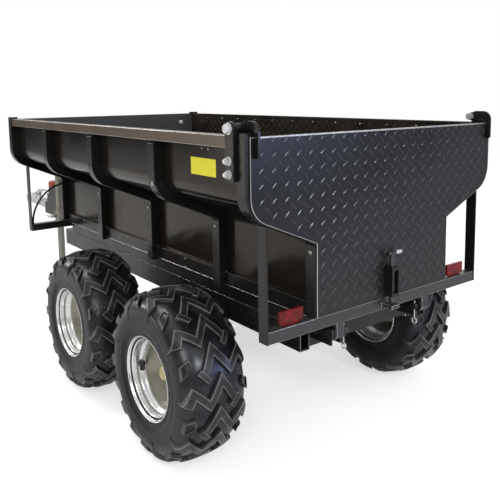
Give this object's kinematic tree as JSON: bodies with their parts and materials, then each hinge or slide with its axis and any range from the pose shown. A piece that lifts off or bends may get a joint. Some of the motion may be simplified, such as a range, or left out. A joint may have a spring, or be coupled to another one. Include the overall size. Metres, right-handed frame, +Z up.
{
  "type": "tipping dump cart",
  "caption": "Black steel dump cart with a ribbed tub flared over four lugged tyres, a top-hung tailgate and a drawbar with support leg.",
  "frame": {"origin": "on the ground under the middle of the box around the cart", "axes": "+X to the cart's right, +Y forward to the coupling, +Z up"},
  "size_m": [1.2744, 3.5415, 1.116],
  "materials": {
    "black_paint": "powder coat",
    "tyre_rubber": "matte",
    "rim_silver": "satin silver",
    "hub_metal": "zinc plated",
    "zinc": "zinc plated",
    "galvanised": "hot dip",
    "black_rubber": "matte",
    "reflector_red": "gloss",
    "black_plastic": "matte"
  },
  "bodies": {
    "chassis": {"chassis_beam_left": "black_paint", "chassis_beam_right": "black_paint", "cross_tubes": "black_paint", "front_struts": "black_paint", "drawbar": "black_paint", "hinge_arms": "black_paint", "tip_pins": "zinc", "pin_clips": "zinc", "rest_pads": "black_rubber", "bogie_shaft": "black_paint", "bogie_collars": "black_paint", "coupling_body": "zinc", "leg_clamp": "galvanised", "pump_unit": "black_plastic", "oil_tank": "black_plastic"},
    "tub": {"floor_plate": "black_paint", "wall_left": "black_paint", "wall_right": "black_paint", "front_wall": "black_paint", "ribs_left": "black_paint", "ribs_right": "black_paint", "corner_posts": "black_paint", "rails": "black_paint", "sills": "black_paint", "longerons": "black_paint", "cross_members": "black_paint", "rear_bar": "black_paint", "front_bar": "black_paint", "bar_posts": "black_paint", "reflectors": "reflector_red", "hinge_brackets": "black_paint", "bracket_bolts": "zinc", "front_hose": "black_rubber", "pivot_bolts": "zinc"},
    "tailgate": {"gate_plate": "black_paint", "gate_arms": "black_paint", "latch_guide": "black_paint"},
    "latch_bolt": {"latch_bolt": "zinc"},
    "coupling_handle": {"coupling_handle": "zinc"},
    "support_leg": {"leg_tube": "galvanised"},
    "clamp_screw": {"clamp_screw": "zinc"},
    "bogie_left": {"bogie_left": "black_paint"},
    "bogie_right": {"bogie_right": "black_paint"},
    "lift_barrel": {"lift_barrel": "black_paint"},
    "lift_stage_1": {"lift_stage_1": "zinc"},
    "lift_stage_2": {"lift_stage_2": "zinc"},
    "lift_stage_3": {"lift_stage_3": "zinc"},
    "wheel_rear_left": {"tyre_rear_left": "tyre_rubber", "rim_rear_left": "rim_silver", "hub_rear_left": "hub_metal"},
    "wheel_rear_right": {"tyre_rear_right": "tyre_rubber", "rim_rear_right": "rim_silver", "hub_rear_right": "hub_metal"},
    "wheel_front_left": {"tyre_front_left": "tyre_rubber", "rim_front_left": "rim_silver", "hub_front_left": "hub_metal"},
    "wheel_front_right": {"tyre_front_right": "tyre_rubber", "rim_front_right": "rim_silver", "hub_front_right": "hub_metal"}
  },
  "joints": [
    {"name": "tub_tip", "type": "hinge", "parent": "chassis", "child": "tub", "pos_m": [0, -1.70975, 0.461], "axis": [1, 0, 0], "range_deg": [0, 40]},
    {"name": "gate_swing", "type": "hinge", "parent": "tub", "child": "tailgate", "pos_m": [0, -1.67275, 1.096], "axis": [-1, 0, 0], "range_deg": [0, 90]},
    {"name": "latch_drop", "type": "slide", "parent": "tailgate", "child": "latch_bolt", "axis": [0, 0, 1], "range_m": [-0.036, 0]},
    {"name": "bogie_rock_left", "type": "hinge", "parent": "chassis", "child": "bogie_left", "pos_m": [-0.343, -0.94175, 0.345], "axis": [1, 0, 0], "range_deg": [-12, 12]},
    {"name": "bogie_rock_right", "type": "hinge", "parent": "chassis", "child": "bogie_right", "pos_m": [0.343, -0.94175, 0.345], "axis": [1, 0, 0], "range_deg": [-12, 12]},
    {"name": "wheel_rear_left", "type": "hinge", "parent": "bogie_left", "child": "wheel_rear_left", "pos_m": [-0.519, -1.27575, 0.279], "axis": [1, 0, 0], "continuous": true},
    {"name": "wheel_rear_right", "type": "hinge", "parent": "bogie_right", "child": "wheel_rear_right", "pos_m": [0.519, -1.27575, 0.279], "axis": [1, 0, 0], "continuous": true},
    {"name": "wheel_front_left", "type": "hinge", "parent": "bogie_left", "child": "wheel_front_left", "pos_m": [-0.519, -0.60775, 0.279], "axis": [1, 0, 0], "continuous": true},
    {"name": "wheel_front_right", "type": "hinge", "parent": "bogie_right", "child": "wheel_front_right", "pos_m": [0.519, -0.60775, 0.279], "axis": [1, 0, 0], "continuous": true},
    {"name": "lift_swing", "type": "hinge", "parent": "chassis", "child": "lift_barrel", "pos_m": [0, -0.72861, 0.295], "axis": [1, 0, 0], "range_deg": [0, 20]},
    {"name": "lift_slide_1", "type": "slide", "parent": "lift_barrel", "child": "lift_stage_1", "axis": [0, 0.0902, 0.9959], "range_m": [0, 0.2234]},
    {"name": "lift_slide_2", "type": "slide", "parent": "lift_stage_1", "child": "lift_stage_2", "axis": [0, 0.0902, 0.9959], "range_m": [0, 0.2234]},
    {"name": "lift_slide_3", "type": "slide", "parent": "lift_stage_2", "child": "lift_stage_3", "axis": [0, 0.0902, 0.9959], "range_m": [0, 0.2234]},
    {"name": "leg_slide", "type": "slide", "parent": "chassis", "child": "support_leg", "axis": [0, 0, 1], "range_m": [0, 0.2]},
    {"name": "clamp_turn", "type": "hinge", "parent": "chassis", "child": "clamp_screw", "pos_m": [-0.13, 0.95125, 0.425], "axis": [1, 0, 0], "continuous": true},
    {"name": "handle_lift", "type": "hinge", "parent": "chassis", "child": "coupling_handle", "pos_m": [0, 1.59225, 0.485], "axis": [-1, 0, 0], "range_deg": [0, 45]}
  ],
  "couplings": [
    {"joint": "lift_swing", "follows": "tub_tip", "ratio": 0.5},
    {"joint": "lift_slide_1", "follows": "tub_tip", "m_per_rad": 0.32},
    {"joint": "lift_slide_2", "follows": "tub_tip", "m_per_rad": 0.32},
    {"joint": "lift_slide_3", "follows": "tub_tip", "m_per_rad": 0.32}
  ]
}
